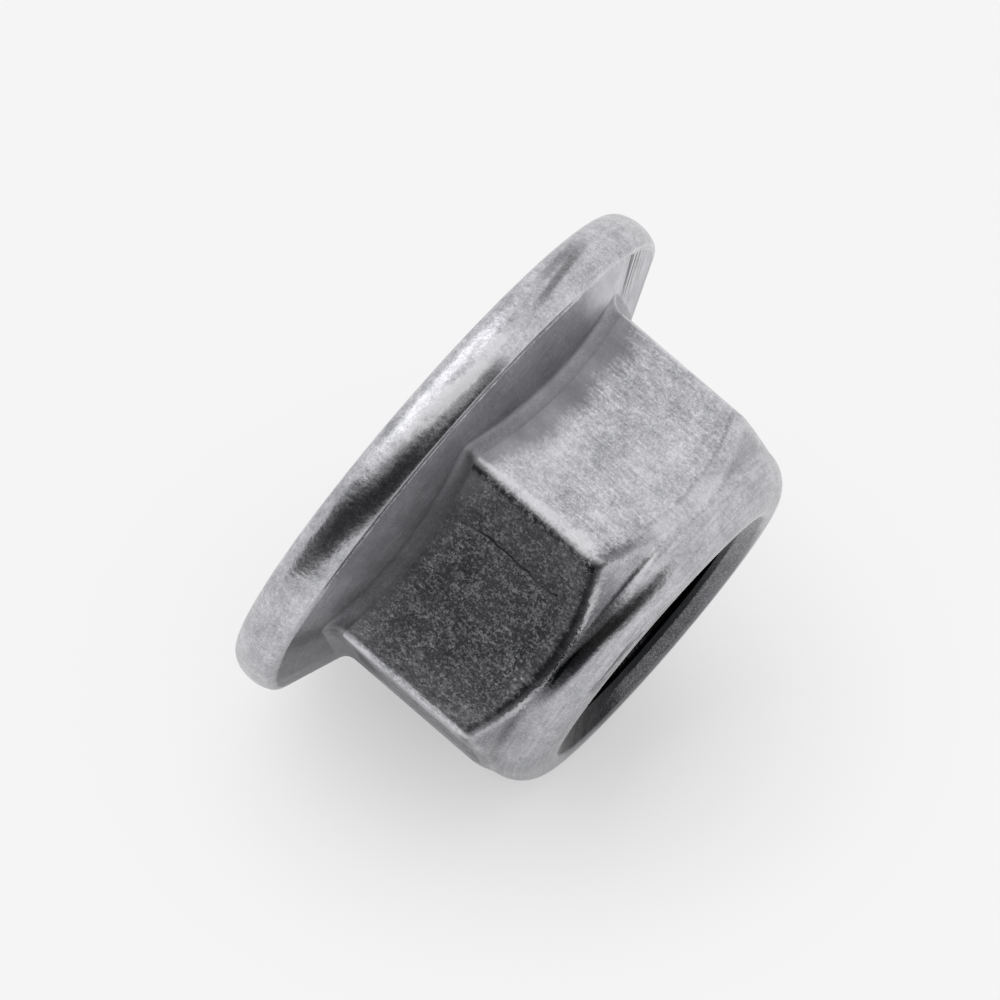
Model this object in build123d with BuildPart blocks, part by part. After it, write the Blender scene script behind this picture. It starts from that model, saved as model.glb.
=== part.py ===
"""Hexagon flange nut with a serrated bearing face, cold formed and tapped in one piece.

Frame: the nut stands on its flange. The bearing face lies in z = 0, the thread's axis is Z
and the crown points to +Z. All lengths are in millimetres.
"""
from build123d import *
from math import radians, sqrt, tan
import os

# Driving dimensions -------------------------------------------------------------------------
across_flats = 14.0           # spanner size of the hexagon
nut_height = 10.4             # bearing face to the crest of the crown
hex_corner_radius = 0.5       # rounding that the forming die leaves on the six corners

flange_diameter = 19.8        # widest point of the barrelled rim
rim_bulge = 0.57              # how far the rim's barrel stands out from its lower edge
rim_half_height = 0.97        # height of the barrel's widest point
rim_edge_z = 1.71             # height of the sharp edge where the barrel ends
flange_cone_angle = 22.0      # slope of the flange's upper face
root_fillet = 0.6             # between the flange's upper face and the hexagon

shoulder_width = 1.35         # rounding of the crown's collar, a little taller than wide
shoulder_height = 1.4
collar_inset = 0.05           # the collar is this much inside the flats
corner_chamfer_angle = 38.0   # chamfer of the six corners under the collar

thread_minor_diameter = 8.376  # core hole of the M10 x 1.5 thread
crest_land = 0.3              # width of the crown's crest, between shoulder and countersink
countersink_angle = 120.0     # included angle of both countersinks
base_countersink_diameter = 10.8

serration_count = 24
serration_depth = 0.3
serration_inner_radius = 6.1
serration_outer_radius = 9.0
serration_land = 0.2          # flat left on the crest of each tooth

# Worked out from them -------------------------------------------------------------------------
flat_distance = across_flats / 2
bore_radius = thread_minor_diameter / 2
collar_radius = flat_distance - collar_inset
collar_base_z = nut_height - shoulder_height
crest_outer_radius = collar_radius - shoulder_width
crest_inner_radius = crest_outer_radius - crest_land
countersink_slope = tan(radians(90 - countersink_angle / 2))
crown_countersink_depth = (crest_inner_radius - bore_radius) * countersink_slope
base_countersink_radius = base_countersink_diameter / 2
base_countersink_depth = (base_countersink_radius - bore_radius) * countersink_slope
rim_foot_radius = flange_diameter / 2 - rim_bulge
barrel_radius = (rim_bulge**2 + rim_half_height**2) / (2 * rim_bulge)   # arc of that bulge
barrel_centre_radius = flange_diameter / 2 - barrel_radius
rim_edge_radius = barrel_centre_radius + sqrt(barrel_radius**2 - (rim_edge_z - rim_half_height) ** 2)
cone_rise = tan(radians(flange_cone_angle))
cone_top_z = rim_edge_z + (rim_edge_radius - bore_radius) * cone_rise
hex_reach = flat_distance * 1.3        # past the corners, for the envelope that trims them
envelope_base_z = collar_base_z - (hex_reach - collar_radius) * tan(radians(corner_chamfer_angle))
root_low_z = rim_edge_z + (rim_edge_radius - hex_reach) * cone_rise
root_high_z = rim_edge_z + (rim_edge_radius - flat_distance + root_fillet) * cone_rise
tooth_pitch = 360 / serration_count


# Subtracted sub-part ----------------------------------------------------------------------
# One gap between two ratchet teeth: a steep flank where it is deepest, and a ramp that comes
# back to the bearing face at the next crest. It keeps its depth and widens outwards.
with BuildPart() as tooth_gap:
    for radius in (serration_inner_radius, serration_outer_radius):
        gap_width = radius * radians(tooth_pitch) - serration_land
        with BuildSketch(Plane((radius, 0, 0), x_dir=(0, 1, 0), z_dir=(1, 0, 0))):
            with BuildLine():
                Polyline(
                    (0, -serration_depth),
                    (0, serration_depth),
                    (gap_width, 0),
                    (gap_width, -serration_depth),
                    close=True,
                )
            make_face()
    loft()

with BuildPart() as flange_nut:
    # The hexagon, its corners rounded as the die leaves them.
    with BuildSketch(Plane.XY):
        RegularPolygon(flat_distance, 6, major_radius=False)
    extrude(amount=nut_height)
    fillet(flange_nut.edges().filter_by(Axis.Z), hex_corner_radius)

    # The crown trims it: a chamfer across the corners up to a round collar, whose shoulder
    # rolls over to the crest.
    with BuildSketch(Plane.XZ):
        with BuildLine():
            Polyline((0, nut_height), (0, 0), (hex_reach, 0), (hex_reach, envelope_base_z))
            Line((hex_reach, envelope_base_z), (collar_radius, collar_base_z))
            EllipticalCenterArc(
                (crest_outer_radius, collar_base_z),
                shoulder_width,
                shoulder_height,
                start_angle=0,
                arc_size=90,
            )
            Line((crest_outer_radius, nut_height), (0, nut_height))
        make_face()
    revolve(axis=Axis.Z, mode=Mode.INTERSECT)

    # The flange: a barrelled rim with a sharp upper edge, and a conical upper face.
    with BuildSketch(Plane.XZ):
        with BuildLine():
            Line((0, 0), (rim_foot_radius, 0))
            ThreePointArc(
                (rim_foot_radius, 0),
                (flange_diameter / 2, rim_half_height),
                (rim_edge_radius, rim_edge_z),
            )
            Line((rim_edge_radius, rim_edge_z), (bore_radius, cone_top_z))
            Polyline((bore_radius, cone_top_z), (0, cone_top_z), (0, 0))
        make_face()
    revolve(axis=Axis.Z)
    root_edges = flange_nut.edges().filter_by_position(Axis.Z, root_low_z, root_high_z)
    fillet(root_edges, root_fillet)

    # The core hole of the thread, countersunk at both ends.
    with BuildSketch(Plane.XZ):
        with BuildLine():
            Polyline(
                (0, 0),
                (base_countersink_radius, 0),
                (bore_radius, base_countersink_depth),
                (bore_radius, nut_height - crown_countersink_depth),
                (crest_inner_radius, nut_height),
                (0, nut_height),
                close=True,
            )
        make_face()
    revolve(axis=Axis.Z, mode=Mode.SUBTRACT)

    # Ratchet teeth round the bearing face: each gap ramps down to the next crest, so the steep
    # flanks bite when a right-hand nut starts to turn back.
    with PolarLocations(0, serration_count):
        add(tooth_gap.part, mode=Mode.SUBTRACT)

flange_nut.part.label = "flange_nut"
os.makedirs("parts", exist_ok=True)
export_step(flange_nut.part, "parts/flange_nut.step")
print(f"flange_nut: {flange_nut.part.volume:.1f} mm3, {len(flange_nut.part.solids())} solid")
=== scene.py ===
# %% [markdown]
# A serrated flange nut, M10 with a small 14 mm hexagon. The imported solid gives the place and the
# size, and this script gives it the skin of a cold-formed steel nut: edges rounded by the die, a
# tapped thread and the mottled grey coat of the wire it was made from. The solid could be dressed
# as it is, but a nut's skin is simple enough to work out afresh with as many points as the light
# needs, so the solid serves as the frame that the skin is fitted to. Lengths that a maker would
# quote are in millimetres, and MM turns them into Blender's metres.

import math

import bpy
import numpy as np
from mathutils import Matrix, Vector


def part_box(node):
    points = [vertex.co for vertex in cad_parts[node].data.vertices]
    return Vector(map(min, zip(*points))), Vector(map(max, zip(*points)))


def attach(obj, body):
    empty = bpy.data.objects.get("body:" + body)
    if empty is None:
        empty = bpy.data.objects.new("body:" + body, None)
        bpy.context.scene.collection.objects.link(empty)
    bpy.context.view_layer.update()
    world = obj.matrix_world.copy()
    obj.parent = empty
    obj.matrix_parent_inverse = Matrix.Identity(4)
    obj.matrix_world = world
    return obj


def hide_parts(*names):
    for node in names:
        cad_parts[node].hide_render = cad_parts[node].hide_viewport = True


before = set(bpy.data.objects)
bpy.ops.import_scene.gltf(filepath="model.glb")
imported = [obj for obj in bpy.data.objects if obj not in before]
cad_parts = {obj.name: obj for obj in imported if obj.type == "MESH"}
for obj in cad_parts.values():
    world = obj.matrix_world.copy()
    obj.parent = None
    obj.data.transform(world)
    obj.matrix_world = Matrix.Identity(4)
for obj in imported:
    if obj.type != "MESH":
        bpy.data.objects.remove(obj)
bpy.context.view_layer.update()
MM = 0.001
node_low, node_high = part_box("flange_nut")
print("nodes:", sorted(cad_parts))

# %% [markdown]
# The drawn surface has to lie where the solid lies, so the nut's dimensions repeat the solid's.
# The two overall ones are measured from the frame. The rest are the sizes that the forming dies
# and the tap would be made to, because every later formula can then be read in a maker's terms.

# %% The nut's dimensions
NUT_HEIGHT = (node_high[2] - node_low[2]) / MM
FLANGE_RADIUS = (node_high[0] - node_low[0]) / 2 / MM
FLAT_DISTANCE = 7.0              # axis to a flat of the hexagon
CORNER_RADIUS = 0.5              # rounding of the six upright corners
RIM_BULGE = 0.57                 # barrel of the rim: how far it stands out
RIM_HALF_HEIGHT = 0.97           # and how high its widest point is
RIM_EDGE_ANGLE = math.radians(50.0)    # where the barrel ends in the upper edge
CONE_ANGLE = math.radians(22.0)        # slope of the flange's upper face
ROOT_FILLET = 0.6
COLLAR_RADIUS = 6.95             # round collar that stands on the hexagon
SHOULDER_WIDTH = 1.35
SHOULDER_HEIGHT = 1.4
CHAMFER_ANGLE = math.radians(38.0)     # the six corner chamfers under the collar
CREST_LAND = 0.3
COUNTERSINK_SPREAD = math.tan(math.radians(60.0))   # radius gained for each mm of height
BASE_COUNTERSINK_RADIUS = 5.4
CORE_RADIUS = 4.188              # M10 x 1.5: core hole, root and pitch of the thread
THREAD_ROOT_RADIUS = 5.0
THREAD_PITCH = 1.5
FLANK_STEEPNESS = math.tan(math.radians(60.0))      # radius lost for each mm along the axis
TOOTH_COUNT = 24                 # ratchet teeth of the bearing face
TOOTH_DEPTH = 0.3
TOOTH_INNER_RADIUS = 6.1
TOOTH_OUTER_RADIUS = 9.0
TOOTH_LAND = 0.2
print("height and flange diameter, mm:", round(NUT_HEIGHT, 3), round(2 * FLANGE_RADIUS, 3))

# %% Sizes worked out from them
CORNER_DISTANCE = FLAT_DISTANCE / math.cos(math.pi / 6)     # axis to a sharp corner
RIM_CORE = FLANGE_RADIUS - RIM_BULGE
RIM_EDGE_R = RIM_CORE + RIM_BULGE * math.cos(RIM_EDGE_ANGLE)
RIM_EDGE_Z = RIM_HALF_HEIGHT * (1 + math.sin(RIM_EDGE_ANGLE))
CONE_RISE = math.tan(CONE_ANGLE)
COLLAR_BASE = NUT_HEIGHT - SHOULDER_HEIGHT
CREST_OUTER = COLLAR_RADIUS - SHOULDER_WIDTH
CREST_INNER = CREST_OUTER - CREST_LAND
print("upper edge of the rim, mm:", round(RIM_EDGE_R, 3), round(RIM_EDGE_Z, 3))
print("crest of the crown, mm:", round(CREST_INNER, 3), "to", round(CREST_OUTER, 3))

# %% [markdown]
# A nut is nearly a turned part. It could be built from a cylinder and a hexagon joined by a
# boolean, but the joint would need its roundings cut by hand. Here its whole skin is one closed
# grid instead: one parameter runs round the axis, and the other runs along the section, out over
# the bearing face, up the rim and the hexagon, over the crown and back down the thread. A grid
# that is closed both ways has no seam and no pole. Its columns are packed where the form turns
# quickly, which is at the corners and at the steep flanks of the teeth.

# %% Columns: angles round the axis
COLUMN_STEP = 1.5
NEAR_CORNER = np.array([0.25, 0.5, 0.75, 1.0, 1.25, 1.75, 2.0, 2.5, 3.5])
BEFORE_FLANK = 0.12              # how far before a flank its own column stands


def packed_angles():
    """Even steps in degrees, joined by finer ones at each corner of the hexagon and by one just
    before the steep flank of each tooth; sorted, each angle once, in radians."""
    even = np.arange(0.0, 360.0, COLUMN_STEP)
    corners = (np.arange(6) * 60.0)[:, None] + np.concatenate([NEAR_CORNER, -NEAR_CORNER])
    flanks = (np.arange(TOOTH_COUNT) * 360.0 / TOOTH_COUNT)[:, None] - BEFORE_FLANK
    every = np.concatenate([even, corners.ravel(), flanks.ravel()]) % 360.0
    return np.radians(np.unique(np.round(every, 4)))


THETA = packed_angles()
print("columns:", THETA.size)

# %% The hexagon as a radius for each angle
def from_corner(angle):
    """Angle from the nearest corner: the angle folded into one sixth of a turn about it."""
    return (angle + math.pi / 6) % (math.pi / 3) - math.pi / 6


def hexagon_radius(angle):
    """Polar radius of a hexagon with rounded corners, one corner on +X. On a flat it is the
    flat's distance over the cosine of the angle from the flat's middle; on a corner it is where
    the ray leaves the corner's rounding circle."""
    turned = from_corner(angle)
    flat = FLAT_DISTANCE / np.cos(math.pi / 6 - np.abs(turned))
    centre = (FLAT_DISTANCE - CORNER_RADIUS) / math.cos(math.pi / 6)
    across = centre * np.sin(turned)
    rounded = centre * np.cos(turned) + np.sqrt(np.maximum(CORNER_RADIUS**2 - across**2, 0.0))
    tangent = np.arctan2(CORNER_RADIUS / 2, centre + CORNER_RADIUS * math.cos(math.pi / 6))
    return np.where(np.abs(turned) < tangent, rounded, flat)


WALL = hexagon_radius(THETA)
beside_corner = from_corner(THETA) * CORNER_DISTANCE
print("hexagon, across corners, mm:", round(2 * WALL.max(), 3))

# %% [markdown]
# The section is a list of rows, each with a radius and a height for every column. A real nut's
# finish depends on what happened to each place: a die slid over the flats, coat and oil stayed in
# the hollows, edges were rubbed in the barrel. Painting such marks as an image would need an
# unwrapped skin. Each row carries them as plain numbers instead, which the material reads later
# as attributes and breaks up with noise. The same numbers also carry painted shade and painted
# highlight, laid where the light falls on this nut.

# %% What a row tells the finish
PLAIN = {
    "grain": 0.4,                # how strongly the film is mottled
    "drawn": 0.0,                # fine upright lines that the die left as it slid along
    "residue": 0.0,              # dark coat and oil that nothing rubbed off
    "worn": 0.0,                 # dark coat and oil, and painted shade
    "below_arc": 9.0,            # rubbed bright, and painted highlight
    "above_fillet": 9.0,         # mm above the root fillet
    "arc_stain": 0.0,            # painted shade of the line under that arc
    "scratch": 9.0,              # mm beside the scratch on the dark flat
    "band_stain": 0.0,           # painted shade in the smooth band above the fillet
    "ringed": 0.0,               # dark lines round the axis
    "folded": 0.0,               # creases that run up the flange's cone
    "lit_edge": 1.0,             # width of the bright line along the arc: wear and painted highlight
}
rows = {name: [] for name in ("radius", "height", *PLAIN)}
DARK_FLAT = 210.0                # azimuth of the flat turned away from the light, in degrees; painted shade darkens it


def add_rows(radius, height, **marks):
    """Adds rows to the section. Each value is one number, a column of numbers with one for each
    row, a number for each column, or a whole block of rows by columns; what isn't named keeps
    its plain value."""
    values = {"radius": radius, "height": height, **PLAIN, **marks}
    count = max(np.atleast_2d(value).shape[0] for value in values.values())
    for name, value in values.items():
        rows[name].append(np.broadcast_to(value, (count, THETA.size)))


def toward(azimuth, spread):
    """How near each column is to an azimuth, both in degrees: 1 there, and falling as the
    exponential of minus the fourth power of the distance in spreads."""
    off = (np.degrees(THETA) - azimuth + 180) % 360 - 180
    return np.exp(-((off / spread) ** 4))


# the side turned away from the light, which takes painted shade in the rows below
shaded_side = toward(DARK_FLAT + 2, 36)
print("marks on each row:", ", ".join(PLAIN))

# %% [markdown]
# The bearing face bites into what it is tightened on with ratchet teeth. They could be 24 cut
# wedges; on this grid each is only a change of height along the columns, steep on one side. The
# barrelled rim is the free edge of the flange, where the metal bulged as the die closed on it. It
# ends in a sharp upper edge, which three close rows round off by a few hundredths, so that it
# catches a line of light.

# %% Rows of the bearing face
def tooth_height(radius):
    """Depth of the gap between two teeth: greatest beyond a steep flank, then a straight ramp
    down to the next crest, where a narrow flat is left."""
    pitch = 2 * math.pi / TOOTH_COUNT
    along = (THETA % pitch)[None, :] * radius
    gap = pitch * radius - TOOTH_LAND
    return TOOTH_DEPTH * np.clip(1 - along / gap, 0.0, 1.0)


TOOTH_END = 0.03                 # mm in which a gap ends, at its inner and its outer radius
tooth_r = np.linspace(TOOTH_INNER_RADIUS, TOOTH_OUTER_RADIUS, 4)[:, None]
add_rows(BASE_COUNTERSINK_RADIUS, 0.0, worn=0.5)
add_rows(TOOTH_INNER_RADIUS - TOOTH_END, 0.0, residue=0.2)
# the gaps between the teeth are darker the deeper they are
add_rows(tooth_r, tooth_height(tooth_r), residue=0.6 * tooth_height(tooth_r) / TOOTH_DEPTH)
add_rows(TOOTH_OUTER_RADIUS + TOOTH_END, 0.0, residue=0.2)
print("deepest gap between teeth, mm:", round(float(tooth_height(tooth_r).max()), 3))

# %% Rows of the rim
BARREL_END = 47.0                # degrees up the barrel, a little short of its upper edge
barrel = np.radians(np.linspace(-90.0, BARREL_END, 30))[:, None]
edge_round = np.array([[0.02, 0.012], [0.055, 0.022], [0.12, 0.0485]])     # mm in, and mm up
edge_worn = np.array([[0.6], [1.0], [0.3]])
barrel_r = RIM_CORE + RIM_BULGE * np.cos(barrel)
add_rows(barrel_r, RIM_HALF_HEIGHT * (1 + np.sin(barrel)), grain=0.8, worn=0.25)
add_rows(RIM_EDGE_R - edge_round[:, :1], RIM_EDGE_Z + edge_round[:, 1:], worn=edge_worn)
print("widest diameter of the rim, mm:", round(2 * float(barrel_r.max()), 3))

# %% [markdown]
# The flange's upper face is a shallow cone. Between it and the wall of the hexagon the metal
# flowed round the edge of a die, which leaves a fillet. A bevel modifier could round that corner,
# but it would have to guess at the corners of the hexagon. An arc tangent to both faces has its
# centre one radius off each, so it can be found exactly, for every column at once. The cone and
# the fillet take painted shade, most on the side turned from the light, and the cone's tip a
# painted light; a few creases at one side of the cone show where the metal lapped over itself.

# %% Rows of the cone
fillet_centre_r = WALL + ROOT_FILLET
fillet_centre_z = (
    RIM_EDGE_Z
    + (RIM_EDGE_R - fillet_centre_r) * CONE_RISE
    + ROOT_FILLET / math.cos(CONE_ANGLE)
)
foot_r = fillet_centre_r - ROOT_FILLET * math.sin(CONE_ANGLE)
share = np.array([0.12, 0.3, 0.5, 0.7, 0.85, 0.95])[:, None]     # of the way in to the fillet
cone_r = RIM_EDGE_R + (foot_r - RIM_EDGE_R) * share
cone_z = RIM_EDGE_Z + (RIM_EDGE_R - cone_r) * CONE_RISE
# painted shade on the cone: more on the shaded side towards the fillet, and in patches round it
cone_dark = shaded_side * (0.08 + 0.1 * np.clip(share * 1.6 - 0.5, 0, 1))
DARK_PATCHES = ((0.2, 155, 20), (0.8, 250, 14), (0.5, 235, 10), (0.5, 270, 9), (0.18, 140, 13))
for strength, middle, spread in DARK_PATCHES:
    cone_dark = cone_dark + strength * toward(middle, spread)
crease_fade = np.array([1, 1, 0.9, 0.75, 0.5, 0.2])[:, None]     # creases die out inwards
# the cone's tip near 113 degrees takes painted light; the creases are its own
add_rows(
    cone_r, cone_z, grain=1.7, residue=cone_dark, above_fillet=-2.0,
    worn=0.9 * toward(113, 21), folded=toward(110, 8) * crease_fade,
)
print("dark patches on the cone:", len(DARK_PATCHES))
print("fillet's centre, mm high:", np.round([fillet_centre_z.min(), fillet_centre_z.max()], 2))

# %% Rows of the root fillet
# from square to the cone round to square to the wall; painted shade on the lit and the shaded side
turn = np.linspace(1.5 * math.pi - CONE_ANGLE, math.pi, 11)[:, None]
fillet_z = fillet_centre_z + ROOT_FILLET * np.sin(turn)
fillet_lit = np.array([0.0, 0.0, 0.1, 0.3, 0.6, 0.85, 0.95, 1, 1, 1, 1])[:, None]
fillet_shaded = np.array([0.5, 0.8, 1.05, 1.25, 1.35, 1.38, 1.35, 1.25, 1.12, 1.0, 0.9])[:, None]
fillet_dark = fillet_lit * 0.8 * (1 - shaded_side) + fillet_shaded * shaded_side
fillet_dark = fillet_dark + 0.2 * toward(242, 6)
corner_worn = np.exp(-(((beside_corner + 0.06) / 0.12) ** 2))
# painted shade in the fillet, with lit and shaded values; painted highlight by the corners on the
# lit side
add_rows(
    fillet_centre_r + ROOT_FILLET * np.cos(turn), fillet_z, grain=1.2,
    residue=fillet_dark * 0.95, worn=0.6 * corner_worn * (1 - shaded_side),
    above_fillet=fillet_z - fillet_centre_z,
    band_stain=np.linspace(0.3, 0.85, 11)[:, None] * (1 - shaded_side) + 0.5 * shaded_side,
)
print("fillet meets the wall at, mm:", round(float(fillet_z[-1].min()), 2))

# %% [markdown]
# The walls are the six flats that a spanner grips. Their corners were rubbed bright against other
# nuts, more so towards the top, and a painted highlight widens that line towards the lit side;
# beside the corners on the shaded side lies a dark line of painted shade. The lit flat takes
# painted light, and the shaded flat and the one beside it painted shade. A flat ends at the top in
# an arc, because the chamfer above it is part of a cone. Marks that follow the arc need to know
# how far below it they are, so the height of the arc is worked out for each column: it is where
# the chamfer's cone is as wide as the wall.

# %% Marks of the wall
WALL_TOP = 7.9                   # here the crown's closer rows take over
arc_height = COLLAR_BASE - (WALL - COLLAR_RADIUS) * math.tan(CHAMFER_ANGLE)
wall_share = np.linspace(0.0, 1.0, 26)[1:-1, None] ** 1.5
wall_z = fillet_centre_z + (WALL_TOP - fillet_centre_z) * wall_share
# painted shade under each arc, strongest on the shaded flat; arc_lit sets the painted highlight of
# the bright arc line
rubbed_arc = 0.12 + 1.3 * toward(208, 36)
arc_lit = 1 - 0.9 * toward(206, 12) + 0.8 * toward(186, 7) + 0.7 * toward(229, 10)
# painted shade: a dark line beside each corner on the shaded side, the shaded flat, the flat at
# 267 degrees and the corner tops by the crown
corner_dark = np.exp(-(((beside_corner - 0.27) / 0.11) ** 2)) * toward(200, 50)
flat_dark = 1.4 * corner_dark + 1.8 * toward(267, 20) + 1.25 * toward(DARK_FLAT, 29)
tip_dark = 1.3 * np.exp(-(((beside_corner - 0.42) / 0.3) ** 2)) * toward(195, 25)
print("arcs, mm high:", round(float(arc_height.min()), 2), "to", round(float(arc_height.max()), 2))

# %% Wear along the corners
widening = 0.07 + 0.31 * np.clip((wall_z - 3.0) / 5, 0, 1)       # mm, wider towards the top
widening = widening * np.where(np.abs(np.degrees(THETA) - 240) < 30, 2.1, 1.0)
# the bright corner line is wear, pushed towards the lit side as painted highlight
lean = np.where(THETA < math.radians(DARK_FLAT), -0.5, 0.9) * widening
wall_worn = 1.2 * np.exp(-(((beside_corner - lean) / widening) ** 2)) + 0.15
# painted light on the lit flat, near 154 and 168 degrees
wall_worn = wall_worn + 0.42 * toward(154, 20) * np.clip((wall_z - 5.5) / 2, 0, 1)
wall_worn = wall_worn + 0.6 * toward(168, 13) * np.exp(-(((wall_z - 4.3) / 0.9) ** 2))
print("widest bright edge, mm:", round(2 * float(widening.max()), 2))

# %% Rows of the wall
SCRATCH_PLACE = -1.82            # mm beside the middle of the dark flat
across_dark_flat = WALL * np.sin(THETA - math.radians(DARK_FLAT))
# the smooth band's painted shade is set apart for the lit and the shaded flats
add_rows(
    WALL, wall_z, grain=1.0, drawn=1.0, worn=wall_worn,
    residue=flat_dark + tip_dark * np.clip((wall_z - 7.3) / 0.6, 0, 1),
    below_arc=arc_height - wall_z, above_fillet=wall_z - fillet_centre_z + 0.5 * shaded_side,
    arc_stain=rubbed_arc, lit_edge=arc_lit, scratch=across_dark_flat - SCRATCH_PLACE,
    band_stain=0.85 - 0.35 * shaded_side,
)
print("wall rows:", wall_z.shape[0])

# %% [markdown]
# The crown is formed by a ring-shaped die that squeezes the top of the hexagon. It leaves a round
# collar and six curved chamfers. A boolean of three shapes would give crossings as sharp as
# knives. In one formula, the radius is the hexagon cut back by the chamfer's cone, but never
# inside the collar, and both crossings are softly rounded as forging leaves them.

# %% Soft crossings, and the collar
def soft_max(a, b, softness):
    """The larger of two lengths; where they cross, a parabola of about this length joins them."""
    blend = np.maximum(softness - np.abs(a - b), 0.0) / softness
    return np.maximum(a, b) + softness * blend**2 / 4


def soft_min(a, b, softness):
    """The smaller of two lengths, joined the same way: the soft larger one of their negatives."""
    return -soft_max(-a, -b, softness)


def collar_profile(height):
    """Radius of the collar: upright up to its base, then a quarter of an ellipse."""
    rise = np.clip((height - COLLAR_BASE) / SHOULDER_HEIGHT, 0.0, 1.0)
    return CREST_OUTER + SHOULDER_WIDTH * np.sqrt(1 - rise**2)


print("where two 7 mm lengths cross, mm:", soft_max(7.0, 7.0, 0.22), soft_min(7.0, 7.0, 0.3))

# %% Rows of the chamfers
CHAMFER_SOFTNESS, COLLAR_SOFTNESS = 0.3, 0.22
CHAMFER_TOP = 0.24               # above the collar's base: past the soft crossing
crown_z = np.linspace(WALL_TOP, COLLAR_BASE + CHAMFER_TOP, 40)[:, None]
chamfer_r = COLLAR_RADIUS + (COLLAR_BASE - crown_z) / math.tan(CHAMFER_ANGLE)
crown_r = soft_min(WALL, chamfer_r, CHAMFER_SOFTNESS)
crown_r = soft_max(crown_r, collar_profile(crown_z), COLLAR_SOFTNESS)
on_chamfer = np.clip((WALL - chamfer_r) / 0.15, 0, 1)
under_collar = np.clip(1 - (crown_r - collar_profile(crown_z)) / 0.5, 0, 1)
# painted shade on the chamfers, deeper under the collar and in the hollow near 236 degrees; the
# flat part keeps the wall's painted shade
chamfer_dark = (0.3 + 0.2 * under_collar) * (1 - 0.9 * toward(172, 11)) + 0.75 * toward(200, 20)
hollow_dark = 0.5 * np.clip(under_collar * 2 - 0.9, 0, 1) * toward(236, 11)
press_dark = on_chamfer * (chamfer_dark + hollow_dark) + (flat_dark + tip_dark) * (1 - on_chamfer)
press_dark = press_dark * np.clip((COLLAR_BASE + 0.15 - crown_z) / 0.25, 0, 1)
# painted shade along the arc's rounded edge on the shaded side
arc_dark = toward(205, 11) * np.exp(-(((arc_height - crown_z) / 0.13) ** 2))
# wear and painted light by the crown's corners, and painted light towards the lit flat near 150
# degrees
add_rows(
    crown_r, crown_z, grain=1 - 0.35 * on_chamfer, drawn=1 - on_chamfer,
    residue=press_dark + arc_dark, worn=(corner_worn + 0.4 * toward(150, 18)) * (1 - on_chamfer),
    below_arc=arc_height - crown_z, arc_stain=rubbed_arc, lit_edge=arc_lit,
)
print("widest chamfer, mm:", round(float((WALL - crown_r).max()), 2))

# %% Rows of the shoulder
SHOULDER_START = 0.30            # mm above the collar's base, just past the chamfers' last row
shoulder = np.linspace(math.asin(SHOULDER_START / SHOULDER_HEIGHT), math.pi / 2, 22)[:, None]
# wear on the shoulder, and painted highlight towards 168 degrees
add_rows(
    CREST_OUTER + SHOULDER_WIDTH * np.cos(shoulder),
    COLLAR_BASE + SHOULDER_HEIGHT * np.sin(shoulder),
    grain=0.6, worn=0.12 + 0.25 * toward(168, 24), below_arc=-3.0,
    ringed=0.1 + 0.9 * np.clip((shoulder - 0.9) / 0.3, 0, 1) * toward(190, 22),
)
print("shoulder rows:", shoulder.size)

# %% [markdown]
# An M10 thread of 1.5 mm pitch climbs the bore. The usual way is to sweep its section along a
# helix, which leaves a second shell to join on. In the bore's rows the radius depends on the
# phase instead, which is the height in pitches less the angle in turns, so a right-hand groove
# winds through the grid and nothing has to be joined. The countersinks cut it off at both ends,
# and it fades out just under the upper one. The bore is painted dark as shade: near black down
# the thread and the lower countersink, dark grey in the upper countersink.

# %% Rows of the crest
lip = np.array([[0.1, 0.0], [0.02, -0.004], [-0.035, -0.022], [-0.075, -0.05]])    # mm out, up
# the crest's far side takes painted shade and its near side wear and painted highlight
far_side = toward(3, 75)
add_rows(
    CREST_INNER + lip[:, :1], NUT_HEIGHT + lip[:, 1:],
    worn=0.6 * (1 - far_side), residue=0.8 * far_side,
)
print("crest rows:", len(lip))

# %% Rows of the countersinks and the thread
RUN_OUT_TOP, RUN_OUT_LENGTH = 0.62, 0.3     # mm under the crest where the groove is gone, and fade


def thread_radius(height):
    """Radius of the bore: the core between the grooves, and the thread's root in the middle
    eighth of each pitch, with flanks at 30 degrees to the radius. A countersink takes over where
    it is wider."""
    phase = (height / THREAD_PITCH - THETA[None, :] / (2 * math.pi)) % 1.0
    from_groove = np.abs(phase - 0.5) * THREAD_PITCH
    flank = THREAD_ROOT_RADIUS - (from_groove - THREAD_PITCH / 16) * FLANK_STEEPNESS
    depth = np.clip(flank, CORE_RADIUS, THREAD_ROOT_RADIUS) - CORE_RADIUS
    run_out = np.clip((NUT_HEIGHT - RUN_OUT_TOP - height) / RUN_OUT_LENGTH, 0, 1)
    crown_cone = CREST_INNER - (NUT_HEIGHT - height) * COUNTERSINK_SPREAD
    base_cone = BASE_COUNTERSINK_RADIUS - height * COUNTERSINK_SPREAD
    return np.maximum(CORE_RADIUS + depth * run_out, np.maximum(crown_cone, base_cone))


bore_z = np.concatenate([
    np.linspace(NUT_HEIGHT - 0.1, NUT_HEIGHT - 0.7, 14),
    np.linspace(NUT_HEIGHT - 0.8, 0.8, 88),
    np.linspace(0.7, 0.05, 8),
])[:, None]
bore_r = thread_radius(bore_z)
countersunk = bore_r >= CREST_INNER - (NUT_HEIGHT - bore_z) * COUNTERSINK_SPREAD - 1e-6
countersunk &= bore_z > NUT_HEIGHT / 2
# painted shade in the upper countersink, darker towards 285 to 308 degrees and near black inside
# the thread's root
mouth_dark = 1.3 + 0.2 * toward(285, 50) + 0.8 * toward(308, 24) - 0.35 * toward(75, 50)
mouth_dark = mouth_dark + 3.0 * np.clip((4.58 - bore_r) / 0.25, 0, 1)
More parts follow.
